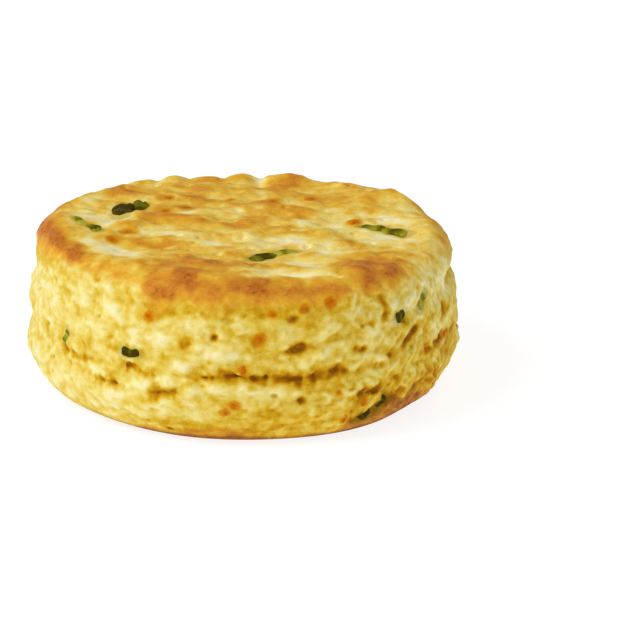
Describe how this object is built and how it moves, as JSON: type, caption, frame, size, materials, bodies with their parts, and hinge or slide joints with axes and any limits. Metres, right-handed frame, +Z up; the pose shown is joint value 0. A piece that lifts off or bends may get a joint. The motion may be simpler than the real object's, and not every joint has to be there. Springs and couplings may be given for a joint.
{
  "type": "cheddar biscuit",
  "caption": "Round, thick baked biscuit with a browned, heaved top, a swollen wall split along its dough layers, and a flat underside.",
  "frame": {"origin": "middle of the box's underside, on the flat base the biscuit stands on", "axes": "+Z up; -Y is the front, with the long split in the wall; +X to the right, where the rim is lower"},
  "size_m": [0.0768, 0.0762, 0.0308],
  "materials": {
    "crumb": "baked dough: pale cream to golden yellow crumb with a golden brown rim, dull with a faint buttery sheen",
    "chive": "baked chive: dark green, a little shiny",
    "cheese": "melted cheddar speck: deep orange, slightly glossy"
  },
  "bodies": {
    "root": {"biscuit": "crumb"}
  },
  "joints": []
}
